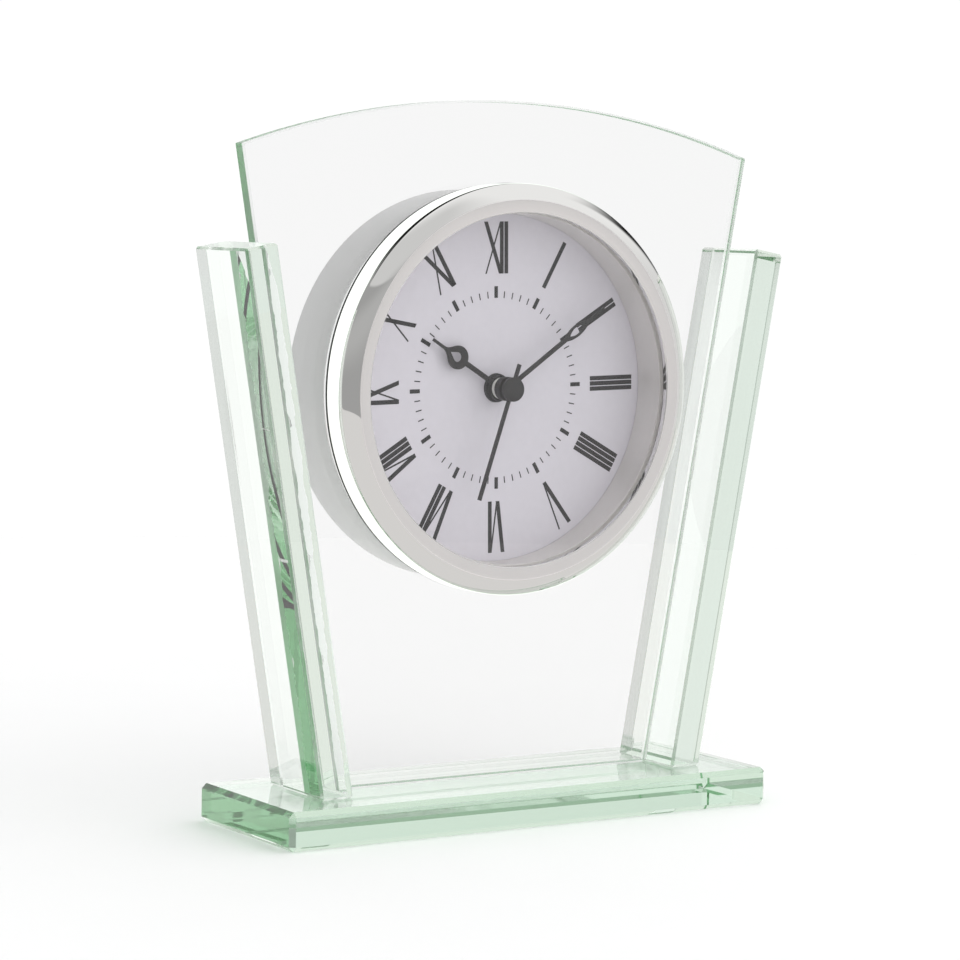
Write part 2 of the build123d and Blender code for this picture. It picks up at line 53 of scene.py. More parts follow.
# The camera, as fitted to the photograph's edges: focal length in pixels of its frame, angles in degrees.
photo_pixels = 960
focal_pixels = 3225.1
sensor_width = 36.0
camera_place = (-432.52 * mm, -658.82 * mm, 148.75 * mm)
camera_yaw = -33.0
camera_pitch = 4.818
camera_roll = 1.148

# Glass stand
panel_foot_half = 46.4 * mm
panel_chamfer = 0.5 * mm
base_chamfer = 1.2 * mm
column_width = 8.6 * mm
column_chamfer = 0.6 * mm
glue_gap = 0.02 * mm
weld = 0.0005 * mm
fillet_across = 7.3 * mm
fillet_depth = 4.8 * mm
fillet_start = (138.5 * mm, 130.0 * mm)
fillet_sizes = (0.75, 1.3)
fillet_noise = (0.3, 0.7)
edge_wetting = 1.6 * mm
wetting_noise = (0.35, 0.65)
glue_scale = 85.0
bevel_grind = 0.5
ground_roughness = 0.45
mark_roughness = 0.02
base_grind = 0.1
arch_steps = 160
side_steps = 80
hole_radius = 48.9 * mm
panel_shoulder_z = 162.6 * mm

# Clock head
round_steps = 256
corner_steps = 5
seat_gap = 0.1 * mm
rim_inner = 42.9 * mm
rim_outer = 45.9 * mm
rim_slope = 0.35 * mm
bevel_edge = -9.1 * mm
bezel_bulge = 0.24 * mm
edge_rounding = 0.8 * mm
rim_rounding = 0.15 * mm
flat_margin = 0.2 * mm
bevel_steps = 24
lens_chamfer = 0.2 * mm
reflector_wall = 1.2 * mm
reflector_flange = 1.0 * mm
reflector_inset = 0.3 * mm
reflector_rounding = 0.1 * mm
drum_wall = 0.8 * mm
drum_rounding = 0.25 * mm
seat_roundings = np.array([0.3, 0.25, 0.12, 0.12, 0.12, 0.12, 0.12, 0.15, 0.3]) * mm
insert_turn = 1.4
numeral_inner = 27.9 * mm
numeral_height = 12.7 * mm
thick_stroke = 1.08 * mm
thin_stroke = 0.42 * mm
x_span = 4.3 * mm
v_span = 3.45 * mm
v_thick_run = 1.5 * mm
v_thin_run = 1.75 * mm
bar_pitch = 1.3 * mm
letter_gap = 0.3 * mm
ink_thickness = 0.03 * mm
hair_ink_thickness = 0.025 * mm
track_inner = 22.0 * mm
minute_tick = (1.65 * mm, 0.28 * mm)
five_minute_tick = (2.85 * mm, 1.0 * mm)

# Studio: strength of the light on matt surfaces, which grows towards the key, and the paper's painted glow as mirrors
# and deep glass see it, dimmer in front as painted shade and brighter behind as painted light
fill_light = 1.08
key_share = 0.8
key_way = Vector((0.85, -0.5, 0.12)).normalized()
paper_reach = 0.66
paper_drop = 0.05 * mm
paper_front_glow = 0.80
paper_back_glow = 1.5
paper_glass_glows = (0.7, 1.0)
backdrop_level = 1.02

# Bends of light, counted halfway between whole numbers: inside a glass piece, still a mirror's first look, and deep in
# glass on the paper and in the surround, which counts one more
inside_bends = 0.5
first_bends = 1.5
deep_paper_bends = 2.5
deep_surround_bends = 3.5

# Places of the surround, in degrees, later ones over earlier ones: the compass used, its band (low, high, softness),
# the height band (low, softness, high, softness), the slant of both bands, and the levels in mirrors and in glass
surround = [
    ("back", (-48.0, 55.0, 6.0), (-40.0, 4.0, 40.0, 3.0), (0.0, 0.0), (1.6, 1.0)),
    ("front", (60.0, 150.0, 20.0), (-40.0, 4.0, 20.0, 10.0), (0.0, 0.0), (0.80, 0.9)),
    ("back", (-130.0, 48.0, 6.0), (43.0, 3.0, 95.0, 1.0), (0.0, 0.0), (0.02, 0.5)),
    ("front", (-62.0, 25.0, 14.0), (20.0, 1.0, 62.0, 12.0), (0.0, 0.0), (0.72, 0.9)),
    ("front", (-125.0, 8.0, 6.0), (-80.0, 1.0, 22.6, 0.8), (0.0, 0.33), (0.42, 0.92)),
    ("front", (-125.0, 8.0, 6.0), (8.0, 7.0, 25.0, 6.0), (0.0, 0.0), (0.52, 0.92)),
    ("front", (12.0, 62.0, 8.0), (-14.0, 4.0, 22.0, 6.0), (0.0, 0.0), (0.40, 0.68)),
    ("front", (123.0, 152.0, 5.0), (0.0, 2.0, 33.0, 9.0), (1.3, 0.0), (0.02, 0.45)),
]

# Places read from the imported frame
bezel_low, bezel_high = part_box("bezel")
base_low, base_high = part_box("glass_base")
panel_low, panel_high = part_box("glass_panel")
column_low, column_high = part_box("right_column")
drum_low, drum_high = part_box("drum_case")
dial_low, dial_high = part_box("dial")
head_z = (bezel_low.z + bezel_high.z) / 2
taper = math.atan((panel_high.x - panel_foot_half) / (panel_shoulder_z - base_high.z))


def srgb(code):
    """Linear colour from a hexadecimal screen colour."""
    values = np.array([int(code[k:k + 2], 16) for k in (0, 2, 4)]) / 255
    linear = np.where(values <= 0.04045, values / 12.92, ((values + 0.055) / 1.055) ** 2.4)
    return (*linear.tolist(), 1.0)


def grid_quads(rows, columns, wrap_rows=False, wrap_columns=False):
    """Quads between neighbouring points of a grid, joined end to end where it wraps."""
    i = np.arange(rows if wrap_rows else rows - 1)[:, None]
    j = np.arange(columns if wrap_columns else columns - 1)[None, :]
    after_i = (i + 1) % rows
    after_j = (j + 1) % columns
    corners = [i * columns + j, i * columns + after_j, after_i * columns + after_j, after_i * columns + j]
    return np.stack(corners, -1).reshape(-1, 4)


def add_piece(name, points, faces, body, slot, nodes=(), crease=28.0, marks=None):
    """Mesh object from an array of points and a list of faces, closed, facing outwards and riding on a body."""
    mesh = bpy.data.meshes.new(name)
    mesh.from_pydata(np.asarray(points).reshape(-1, 3).tolist(), [], [list(map(int, f)) for f in faces])
    for label, values in (marks or {}).items():
        layer = mesh.attributes.new(label, "FLOAT", "FACE")
        layer.data.foreach_set("value", np.asarray(values, np.float32))
    work = bmesh.new()
    work.from_mesh(mesh)
    bmesh.ops.remove_doubles(work, verts=work.verts, dist=weld)
    bmesh.ops.recalc_face_normals(work, faces=work.faces)
    work.to_mesh(mesh)
    work.free()
    mesh.polygons.foreach_set("use_smooth", np.ones(len(mesh.polygons), bool))
    mesh.set_sharp_from_angle(angle=math.radians(crease))
    made = bpy.data.objects.new(name, mesh)
    bpy.context.scene.collection.objects.link(made)
    made.data.materials.append(materials[slot])
    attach(made, body)
    if nodes:
        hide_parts(*nodes)
    return made


def softened(corners, radius, steps=5):
    """Closed outline whose corners are rounded: each becomes a parabola between points one radius away."""
    corners = np.asarray(corners, float)
    radius = np.broadcast_to(radius, len(corners))[:, None]
    before = np.roll(corners, 1, 0) - corners
    after = np.roll(corners, -1, 0) - corners
    start = corners + before / np.linalg.norm(before, axis=1, keepdims=True) * radius
    end = corners + after / np.linalg.norm(after, axis=1, keepdims=True) * radius
    t = np.linspace(0, 1, steps)[None, :, None]
    curve = (1 - t) ** 2 * start[:, None] + 2 * t * (1 - t) * corners[:, None] + t ** 2 * end[:, None]
    return curve.reshape(-1, 2)


def turned(profile, steps=round_steps):
    """Closed (radius, depth) outline carried round the hands' axis: x = r sin a, y = depth, z = head + r cos a."""
    profile = np.asarray(profile, float)
    angle = np.linspace(0, 2 * math.pi, steps, endpoint=False)[:, None]
    radius = profile[None, :, 0]
    depth = np.broadcast_to(profile[None, :, 1], (steps, len(profile)))
    points = np.stack([radius * np.sin(angle), depth, head_z + radius * np.cos(angle)], -1)
    return points, grid_quads(steps, len(profile), True, True)


# Shader groups shared by several finishes


def new_group(name, inputs, outputs):
    """Empty shader group with named number and vector inputs and number outputs."""
    group = bpy.data.node_groups.new(name, "ShaderNodeTree")
    for label, kind, value in inputs:
        socket = group.interface.new_socket(label, in_out="INPUT", socket_type=kind)
        if value is not None:
            socket.default_value = value
    for label, kind in outputs:
        group.interface.new_socket(label, in_out="OUTPUT", socket_type=kind)
    return group, group.nodes.new("NodeGroupInput"), group.nodes.new("NodeGroupOutput")


def add_node(tree, kind, links=None, **settings):
    """Node with its plain settings, unlinked values and links to other sockets."""
    node = tree.nodes.new(kind)
    for key, value in settings.items():
        setattr(node, key, value)
    for key, value in (links or {}).items():
        socket = node.inputs[key]
        if isinstance(value, bpy.types.NodeSocket):
            tree.links.new(value, socket)
        else:
            socket.default_value = value
    return node


def math_node(tree, operation, first, second=0.0):
    """Result of one arithmetic step."""
    return add_node(tree, "ShaderNodeMath", {0: first, 1: second}, operation=operation).outputs[0]


def ramp(tree, value, low, high, low_out, high_out):
    """Value carried linearly from one range to another, and held at its ends."""
    node = add_node(tree, "ShaderNodeMapRange", {"Value": value, "From Min": low, "From Max": high,
                                                 "To Min": low_out, "To Max": high_out})
    return node.outputs["Result"]


def make_grain_group():
    """Fine moulded or powdery grain: noise of two scales, as a height and as a shade from 0 to 1."""
    group, given, result = new_group("fine_grain", [("Scale", "NodeSocketFloat", 4000.0)],
                                     [("Height", "NodeSocketFloat"), ("Shade", "NodeSocketFloat")])
    place = add_node(group, "ShaderNodeTexCoord").outputs["Object"]
    small = add_node(group, "ShaderNodeTexNoise", {"Vector": place, "Scale": given.outputs["Scale"], "Detail": 3.0})
    wide_scale = math_node(group, "MULTIPLY", given.outputs["Scale"], 0.06)
    wide = add_node(group, "ShaderNodeTexNoise", {"Vector": place, "Scale": wide_scale, "Detail": 2.0})
    group.links.new(small.outputs["Fac"], result.inputs["Height"])
    both = math_node(group, "ADD", math_node(group, "MULTIPLY", small.outputs["Fac"], 0.35),
                     math_node(group, "MULTIPLY", wide.outputs["Fac"], 0.65))
    group.links.new(both, result.inputs["Shade"])
    return group


def make_lathe_group():
    """Turning lines: noise stretched along circles about the hands' axis, as a height and as a shade."""
    group, given, result = new_group("lathe_lines", [("Scale", "NodeSocketFloat", 9000.0)],
                                     [("Height", "NodeSocketFloat"), ("Shade", "NodeSocketFloat")])
    place = add_node(group, "ShaderNodeTexCoord").outputs["Object"]
    split = add_node(group, "ShaderNodeSeparateXYZ", {"Vector": place})
    up = math_node(group, "SUBTRACT", split.outputs["Z"], head_z)
    across = math_node(group, "MULTIPLY", split.outputs["X"], split.outputs["X"])
    radius = math_node(group, "SQRT", math_node(group, "ADD", across, math_node(group, "MULTIPLY", up, up)))
    angle = math_node(group, "MULTIPLY", math_node(group, "ARCTAN2", split.outputs["X"], up), 0.0006)
    lines = add_node(group, "ShaderNodeCombineXYZ", {"X": radius, "Y": split.outputs["Y"], "Z": angle})
    noise = add_node(group, "ShaderNodeTexNoise", {"Vector": lines.outputs[0], "Scale": given.outputs["Scale"],
                                                   "Detail": 4.0})
    group.links.new(noise.outputs["Fac"], result.inputs["Height"])
    group.links.new(noise.outputs["Fac"], result.inputs["Shade"])
    return group


def make_handling_group():
    """Faint handling marks on polished surfaces: soft patches as a mask from 0 to 1."""
    group, given, result = new_group("handling_marks", [("Scale", "NodeSocketFloat", 60.0)],
                                     [("Mask", "NodeSocketFloat")])
    place = add_node(group, "ShaderNodeTexCoord").outputs["Object"]
    noise = add_node(group, "ShaderNodeTexNoise", {"Vector": place, "Scale": given.outputs["Scale"],
                                                   "Detail": 5.0, "Distortion": 0.4})
    group.links.new(ramp(group, noise.outputs["Fac"], 0.45, 0.75, 0.0, 1.0), result.inputs["Mask"])
    return group


def make_glue_group():
    """Clear glue in front of the panel's side edges: a mask that is 1 where it wets the glass.

    The wetted triangle is bounded by distance from the bar over its width plus distance from the panel over its
    depth. Its size changes with height by noise, and lower down it creeps onto the panel's edge.
    """
    group, given, result = new_group("glue_seam", [("Scale", "NodeSocketFloat", glue_scale)],
                                     [("Mask", "NodeSocketFloat")])
    place = add_node(group, "ShaderNodeTexCoord").outputs["Object"]
    split = add_node(group, "ShaderNodeSeparateXYZ", {0: place}).outputs
    edge_x = ramp(group, split["Z"], base_high.z, panel_shoulder_z, panel_foot_half, panel_high.x)
    side_gap = math_node(group, "SUBTRACT", edge_x, math_node(group, "ABSOLUTE", split["X"]))
    in_front = math_node(group, "SUBTRACT", panel_low.y, split["Y"])
    spread = math_node(group, "ADD", math_node(group, "DIVIDE", side_gap, fillet_across),
                       math_node(group, "DIVIDE", in_front, fillet_depth))
    ripple = {"W": split["Z"], "Scale": given.outputs["Scale"], "Detail": 6.0, "Roughness": 0.62}
    wave = add_node(group, "ShaderNodeTexNoise", ripple, noise_dimensions="1D").outputs["Fac"]
    growth = ramp(group, split["Z"], *fillet_start, 0.0, 1.0)
    reach = math_node(group, "MULTIPLY", growth, ramp(group, wave, *fillet_noise, *fillet_sizes))
    creep = math_node(group, "MULTIPLY", growth, ramp(group, wave, *wetting_noise, 0.0, -edge_wetting))
    mask = math_node(group, "LESS_THAN", spread, reach)
    for part in (math_node(group, "GREATER_THAN", in_front, creep),
                 math_node(group, "GREATER_THAN", side_gap, -2 * glue_gap),
                 math_node(group, "GREATER_THAN", split["Z"], base_high.z + panel_chamfer)):
        mask = math_node(group, "MULTIPLY", mask, part)
    group.links.new(mask, result.inputs["Mask"])
    return group


grain_group = make_grain_group()
lathe_group = make_lathe_group()
handling_group = make_handling_group()
glue_group = make_glue_group()


def start_material(name, **sockets):
    """Material with one Principled shader whose constant values are set on its own sockets."""
    made = bpy.data.materials.new(name)
    made.use_nodes = True
    tree = made.node_tree
    shader = tree.nodes["Principled BSDF"]
    for key, value in sockets.items():
        shader.inputs[key.replace("_", " ")].default_value = value
    return made, tree, shader


def use_group(tree, group, scale):
    """One use of a shared group with its own scale."""
    node = tree.nodes.new("ShaderNodeGroup")
    node.node_tree = group
    node.inputs["Scale"].default_value = scale
    return node


def shade_colours(tree, shader, mask, dark, light):
    """Base colour that runs between two tones with a mask."""
    mix = add_node(tree, "ShaderNodeMix", {0: mask, 6: dark, 7: light}, data_type="RGBA")
    tree.links.new(mix.outputs[2], shader.inputs["Base Color"])


def add_bump(tree, shader, height, distance, strength=1.0):
    """Relief of a given depth."""
    bump = add_node(tree, "ShaderNodeBump", {"Height": height, "Distance": distance, "Strength": strength})
    tree.links.new(bump.outputs["Normal"], shader.inputs["Normal"])


def glass(name, colour, tone, seen_past=0.0):
    """Clear green-white glass: the body absorbs with depth, and glued faces are left out by the shown mask.

    Where glue wets it, light inside the glass passes on without a boundary. Where asked, a mirror looks straight
    through the sheet.
    """
    made, tree, shader = start_material(name, Roughness=0.0, IOR=1.52, Transmission_Weight=1.0)
    shader.inputs["Base Color"].default_value = tone
    marks_mask = use_group(tree, handling_group, 45.0).outputs["Mask"]
    ground = add_node(tree, "ShaderNodeAttribute", attribute_name="ground", attribute_type="GEOMETRY")
    rough = math_node(tree, "ADD", ramp(tree, marks_mask, 0.0, 1.0, 0.0, mark_roughness),
                      math_node(tree, "MULTIPLY", ground.outputs["Fac"], ground_roughness))
    tree.links.new(rough, shader.inputs["Roughness"])
    shown = add_node(tree, "ShaderNodeAttribute", attribute_name="shown", attribute_type="GEOMETRY")
    path = add_node(tree, "ShaderNodeLightPath").outputs
    inside = math_node(tree, "GREATER_THAN", path["Ray Depth"], inside_bends)
    wetted = math_node(tree, "MULTIPLY", use_group(tree, glue_group, glue_scale).outputs["Mask"], inside)
    near = math_node(tree, "LESS_THAN", path["Ray Depth"], first_bends)
    first_mirror = math_node(tree, "MULTIPLY", path["Is Reflection Ray"], near)
    passed = math_node(tree, "MULTIPLY", first_mirror, seen_past)
    left_out = math_node(tree, "MAXIMUM", wetted, passed)
    alpha = math_node(tree, "MULTIPLY", shown.outputs["Fac"], math_node(tree, "SUBTRACT", 1.0, left_out))
    tree.links.new(alpha, shader.inputs["Alpha"])
    body = add_node(tree, "ShaderNodeVolumeAbsorption", {"Color": colour, "Density": density})
    tree.links.new(body.outputs["Volume"], tree.nodes["Material Output"].inputs["Volume"])
    return made


def crystal_glass(name):
    """Thin clear crystal over the dial."""
    made, tree, shader = start_material(name, IOR=1.5, Transmission_Weight=1.0)
    shader.inputs["Base Color"].default_value = clear
    marks_mask = use_group(tree, handling_group, 70.0).outputs["Mask"]
    tree.links.new(ramp(tree, marks_mask, 0.0, 1.0, 0.0, 0.015), shader.inputs["Roughness"])
    return made


def bezel_chrome(name, mirror, satin):
    """Mirror chrome with faint handling marks; the satin mask gives the flat rim a fine blasted finish."""
    made, tree, shader = start_material(name, Metallic=1.0)
    mask = use_group(tree, handling_group, 80.0).outputs["Mask"]
    blasted = add_node(tree, "ShaderNodeAttribute", attribute_name="satin", attribute_type="GEOMETRY").outputs["Fac"]
    shade_colours(tree, shader, blasted, mirror, satin)
    grain = use_group(tree, grain_group, 9000.0)
    rough = math_node(tree, "ADD", ramp(tree, mask, 0.0, 1.0, 0.02, 0.05), math_node(tree, "MULTIPLY", blasted, 0.45))
    tree.links.new(rough, shader.inputs["Roughness"])
    add_bump(tree, shader, math_node(tree, "MULTIPLY", grain.outputs["Height"], blasted), 0.004 * mm)
    return made


def polished_metal(name, light, dark, smooth, marked):
    """Mirror finish with faint handling marks."""
    made, tree, shader = start_material(name, Metallic=1.0)
    mask = use_group(tree, handling_group, 80.0).outputs["Mask"]
    shade_colours(tree, shader, mask, light, dark)
    tree.links.new(ramp(tree, mask, 0.0, 1.0, smooth, marked), shader.inputs["Roughness"])
    return made


def lathe_metal(name, light, dark, smooth, rough, scale, depth, metallic):
    """Satin metal with turning lines."""
    made, tree, shader = start_material(name, Metallic=metallic)
    lines = use_group(tree, lathe_group, scale)
    shade_colours(tree, shader, lines.outputs["Shade"], dark, light)
    tree.links.new(ramp(tree, lines.outputs["Shade"], 0.3, 0.7, smooth, rough), shader.inputs["Roughness"])
    add_bump(tree, shader, lines.outputs["Height"], depth)
    return made


def grained(name, light, dark, smooth, rough, scale, depth, metallic=0.0):
    """Moulded plastic, rubber, paint or ink with a fine grain."""
    made, tree, shader = start_material(name, Metallic=metallic)
    grain = use_group(tree, grain_group, scale)
    shade_colours(tree, shader, grain.outputs["Shade"], dark, light)
    tree.links.new(ramp(tree, grain.outputs["Shade"], 0.3, 0.7, smooth, rough), shader.inputs["Roughness"])
    add_bump(tree, shader, grain.outputs["Height"], depth)
    return made


# Absorption colours of the bars, the panel and the base, their shared density, and the tone of their surfaces
glass_tint = (0.900, 0.938, 0.905, 1.0)
panel_tint = (0.875, 0.955, 0.890, 1.0)
base_tint = (0.918, 0.960, 0.926, 1.0)
density = 100.0
clear = (1.0, 1.0, 1.0, 1.0)
panel_tone = (1.0, 0.966, 0.993, 1.0)
materials = {
    "base_glass": glass("base_glass", base_tint, clear),
    "panel_glass": glass("panel_glass", panel_tint, panel_tone, seen_past=1.0),
    "column_glass": glass("column_glass", glass_tint, clear),
    "crystal_glass": crystal_glass("crystal_glass"),
    "polished_chrome": bezel_chrome("polished_chrome", (0.80, 0.795, 0.78, 1), (1.0, 0.975, 0.965, 1)),
    "satin_steel": lathe_metal("satin_steel", (0.67, 0.67, 0.67, 1), (0.60, 0.60, 0.60, 1), 0.45, 0.55,
                               9000.0, 0.004 * mm, 0.1),
    "black_rubber": grained("black_rubber", (0.02, 0.02, 0.02, 1), (0.012, 0.012, 0.012, 1), 0.6, 0.75,
                            6000.0, 0.01 * mm),
    "clear_nylon": grained("clear_nylon", (0.72, 0.73, 0.72, 1), (0.62, 0.63, 0.62, 1), 0.35, 0.5,
                           3000.0, 0.004 * mm),
    "reflector_silver": grained("reflector_silver", (0.70, 0.68, 0.665, 1), (0.64, 0.62, 0.605, 1), 0.4, 0.5, 9000.0,
                                0.003 * mm, metallic=0.25),
    "dial_silver": grained("dial_silver", srgb("cac7ce"), srgb("c1bec5"), 0.45, 0.6, 9000.0, 0.003 * mm),
    "dark_hand": grained("dark_hand", srgb("2c2a2b"), srgb("232122"), 0.5, 0.65, 9000.0, 0.003 * mm),
    "printed_ink": grained("printed_ink", srgb("252324"), srgb("1d1b1c"), 0.6, 0.75, 12000.0, 0.002 * mm),
    "black_plastic": grained("black_plastic", (0.030, 0.030, 0.032, 1), (0.018, 0.018, 0.019, 1), 0.42, 0.58,
                             5000.0, 0.02 * mm),
    "white_plastic": grained("white_plastic", (0.78, 0.78, 0.75, 1), (0.68, 0.68, 0.65, 1), 0.35, 0.5,
                             4000.0, 0.006 * mm),
    "tan_plastic": grained("tan_plastic", (0.44, 0.31, 0.15, 1), (0.36, 0.25, 0.11, 1), 0.35, 0.5,
                           4000.0, 0.006 * mm),
    "board_green": grained("board_green", (0.020, 0.085, 0.035, 1), (0.012, 0.055, 0.022, 1), 0.3, 0.45,
                           2500.0, 0.01 * mm),
    "chip_black": grained("chip_black", (0.012, 0.012, 0.012, 1), (0.008, 0.008, 0.008, 1), 0.3, 0.4,
                          6000.0, 0.006 * mm),
    "bright_steel": polished_metal("bright_steel", (0.44, 0.44, 0.45, 1), (0.36, 0.36, 0.37, 1), 0.25, 0.38),
    "copper_wire": polished_metal("copper_wire", (0.55, 0.20, 0.08, 1), (0.46, 0.16, 0.06, 1), 0.2, 0.35),
    "ferrite": grained("ferrite", (0.055, 0.055, 0.06, 1), (0.04, 0.04, 0.044, 1), 0.5, 0.65, 5000.0, 0.01 * mm),
    "cell_wrap": grained("cell_wrap", (0.045, 0.048, 0.055, 1), (0.035, 0.038, 0.044, 1), 0.22, 0.32,
                         1500.0, 0.004 * mm),
}

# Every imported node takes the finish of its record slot.
node_slots = {entry["node"]: entry["material_slot"] for entry in frame["record"]["subparts"]}
for node_name, node_object in frame["nodes"].items():
    node_object.data.materials.clear()
    node_object.data.materials.append(materials[node_slots[node_name]])


# Glass stand


def capped(points, faces):
    """Adds a flat cap to the first and the last ring of a row of rings."""
    rows, columns = points.shape[:2]
    first = list(range(columns))
    last = list(range((rows - 1) * columns, rows * columns))
    return [list(f) for f in faces] + [first, last]


def make_base():
    """Chamfered slab: a (depth, height) outline carried along X, clipped to the end faces in its first and last ring.

    The top is divided where the panel and the columns stand, and those faces are left out of sight as glued.
    """
    half_depth = base_high.y
    height = base_high.z
    half_width = base_high.x
    c = base_chamfer
    foot_half_depth = column_high.y - column_chamfer
    panel_half = panel_high.y - panel_chamfer
    top = [foot_half_depth, panel_half, -panel_half, -foot_half_depth]
    outline = np.array([(-half_depth + c, 0), (half_depth - c, 0), (half_depth, c), (half_depth, height - c),
                        (half_depth - c, height), *[(y, height) for y in top],
                        (-half_depth + c, height), (-half_depth, height - c), (-half_depth, c)])
    end = np.stack([np.clip(outline[:, 0], -half_depth + c, half_depth - c),
                    np.clip(outline[:, 1], c, height - c)], -1)
    foot_inner = panel_foot_half + column_chamfer / math.cos(taper)
    foot_outer = panel_foot_half + (column_width - column_chamfer) / math.cos(taper)
    panel_end = panel_foot_half - panel_chamfer
    right = [panel_end, foot_inner, foot_outer, half_width - c, half_width]
    stations = np.array([-x for x in reversed(right)] + right)
    rings = np.stack([end if abs(x) == half_width else outline for x in stations])
    points = np.stack([np.broadcast_to(stations[:, None], rings.shape[:2]), rings[..., 0], rings[..., 1]], -1)
    faces = grid_quads(len(stations), len(outline), False, True)
    row, side = np.divmod(np.arange(len(faces)), len(outline))
    bevelled = np.isin(row, (0, len(stations) - 2)) | np.isin(side, (1, 3, 9, 11))
    centre = points.reshape(-1, 3)[faces].mean(1)
    on_top = centre[:, 2] > height - glue_gap
    under_panel = on_top & (abs(centre[:, 1]) < panel_half) & (abs(centre[:, 0]) < panel_end)
    under_column = on_top & (abs(centre[:, 1]) < foot_half_depth) & (abs(centre[:, 0]) > foot_inner)
    under_column &= abs(centre[:, 0]) < foot_outer
    shown = np.append(1.0 - (under_panel | under_column), [1.0, 1.0])
    return points, capped(points, faces), {"shown": shown, "ground": np.append(bevelled * base_grind, [0.0, 0.0])}


def make_column(hand):
    """Chamfered bar beside the panel: an (across, depth) outline carried up the slanted edge.

    Along the bar, across = 0 lies on the panel's edge. The foot is level, so it starts at across times tan(taper).
    """
    c = column_chamfer
    half_depth = column_high.y
    strip = panel_high.y - panel_chamfer
    outline = np.array([(c, -half_depth), (column_width - c, -half_depth), (column_width, -half_depth + c),
                        (column_width, half_depth - c), (column_width - c, half_depth), (c, half_depth),
                        (0, half_depth - c), (0, strip), (0, -strip), (0, -half_depth + c)])
    end = np.stack([np.clip(outline[:, 0], c, column_width - c),
                    np.clip(outline[:, 1], -half_depth + c, half_depth - c)], -1)
    length = (column_high.z - base_high.z) / math.cos(taper)
    rings = np.stack([end, outline, outline, end])
    along = np.stack([end[:, 0] * math.tan(taper), outline[:, 0] * math.tan(taper) + c,
                      np.full(len(outline), length - c), np.full(len(outline), length)])
    across = rings[..., 0]
    x = panel_foot_half + across * math.cos(taper) + along * math.sin(taper)
    z = base_high.z + glue_gap - across * math.sin(taper) + along * math.cos(taper)
    points = np.stack([hand * x, rings[..., 1], z], -1)
    faces = grid_quads(4, len(outline), False, True)
    row, side = np.divmod(np.arange(len(faces)), len(outline))
    shown = np.append(1.0 - ((row == 1) & (side == 7)), [0.0, 1.0])
    bevelled = (row != 1) | np.isin(side, (1, 3, 5, 9))
    return points, capped(points, faces), {"shown": shown, "ground": np.append(bevelled * bevel_grind, [0.0, 0.0])}


def panel_outline(inset):
    """Panel's edge moved inwards: foot, right side, arch and left side, each from corner to corner."""
    slope = math.tan(taper)
    foot = base_high.z + glue_gap + inset
    start = panel_foot_half - (inset + glue_gap) / math.cos(taper) - base_high.z * slope
    rise = panel_high.z - panel_shoulder_z
    radius = (panel_high.x ** 2 + rise ** 2) / (2 * rise)
    middle = panel_high.z - radius
    a = 1 + slope ** 2
    b = start * slope - middle
    c = start ** 2 + middle ** 2 - (radius - inset) ** 2
    shoulder = (-b + math.sqrt(b * b - a * c)) / a
    reach = math.atan2(start + shoulder * slope, shoulder - middle)
    turn = np.linspace(reach, -reach, arch_steps)
    top = np.stack([(radius - inset) * np.sin(turn), middle + (radius - inset) * np.cos(turn)], -1)
    side_z = np.concatenate([np.linspace(foot, column_high.z - column_chamfer, side_steps),
                             np.linspace(column_high.z, shoulder, side_steps // 4)])
    right = np.stack([start + side_z * slope, side_z], -1)
    left = right[::-1] * np.array([-1.0, 1.0])
    low_x = np.linspace(-right[0, 0], right[0, 0], side_steps)
    bottom = np.stack([low_x, np.full(side_steps, foot)], -1)
    return np.concatenate([bottom[:-1], right[:-1], top[:-1], left[:-1]])


def make_panel():
    """Arched panel: the loop hole, face, chamfer, edge, chamfer, face is carried round the hole."""
    front = panel_low.y
    back = panel_high.y
    edge = panel_outline(0.0)
    inner = panel_outline(panel_chamfer)
    away = inner - np.array([0.0, head_z])
    rim = np.array([0.0, head_z]) + away / np.linalg.norm(away, axis=1, keepdims=True) * hole_radius
    loops = [(rim, front), (inner, front), (edge, front + panel_chamfer), (edge, back - panel_chamfer),
             (inner, back), (rim, back)]
    points = np.stack([np.stack([ring[:, 0], np.full(len(ring), depth), ring[:, 1]], -1) for ring, depth in loops], 1)
    faces = grid_quads(points.shape[0], points.shape[1], True, True)
    ring = np.arange(len(faces)) % points.shape[1]
    return points, faces, {"shown": np.ones(len(faces)), "ground": np.isin(ring, (1, 2, 3))}


for name, node, slot, shape in (("base_slab", "glass_base", "base_glass", make_base()),
                                ("arched_panel", "glass_panel", "panel_glass", make_panel()),
                                ("left_bar", "left_column", "column_glass", make_column(-1.0)),
                                ("right_bar", "right_column", "column_glass", make_column(1.0))):
    add_piece(name, shape[0], shape[1], "case", slot, [node], marks=shape[2])


# Clock head


def swept_corner(start, first, second, end, steps):
    """Cubic curve from start to end that leaves towards the first handle and arrives from the second."""
    t = np.linspace(0, 1, steps)[:, None]
    return (1 - t) ** 3 * start + 3 * t * (1 - t) ** 2 * first + 3 * t ** 2 * (1 - t) * second + t ** 3 * end


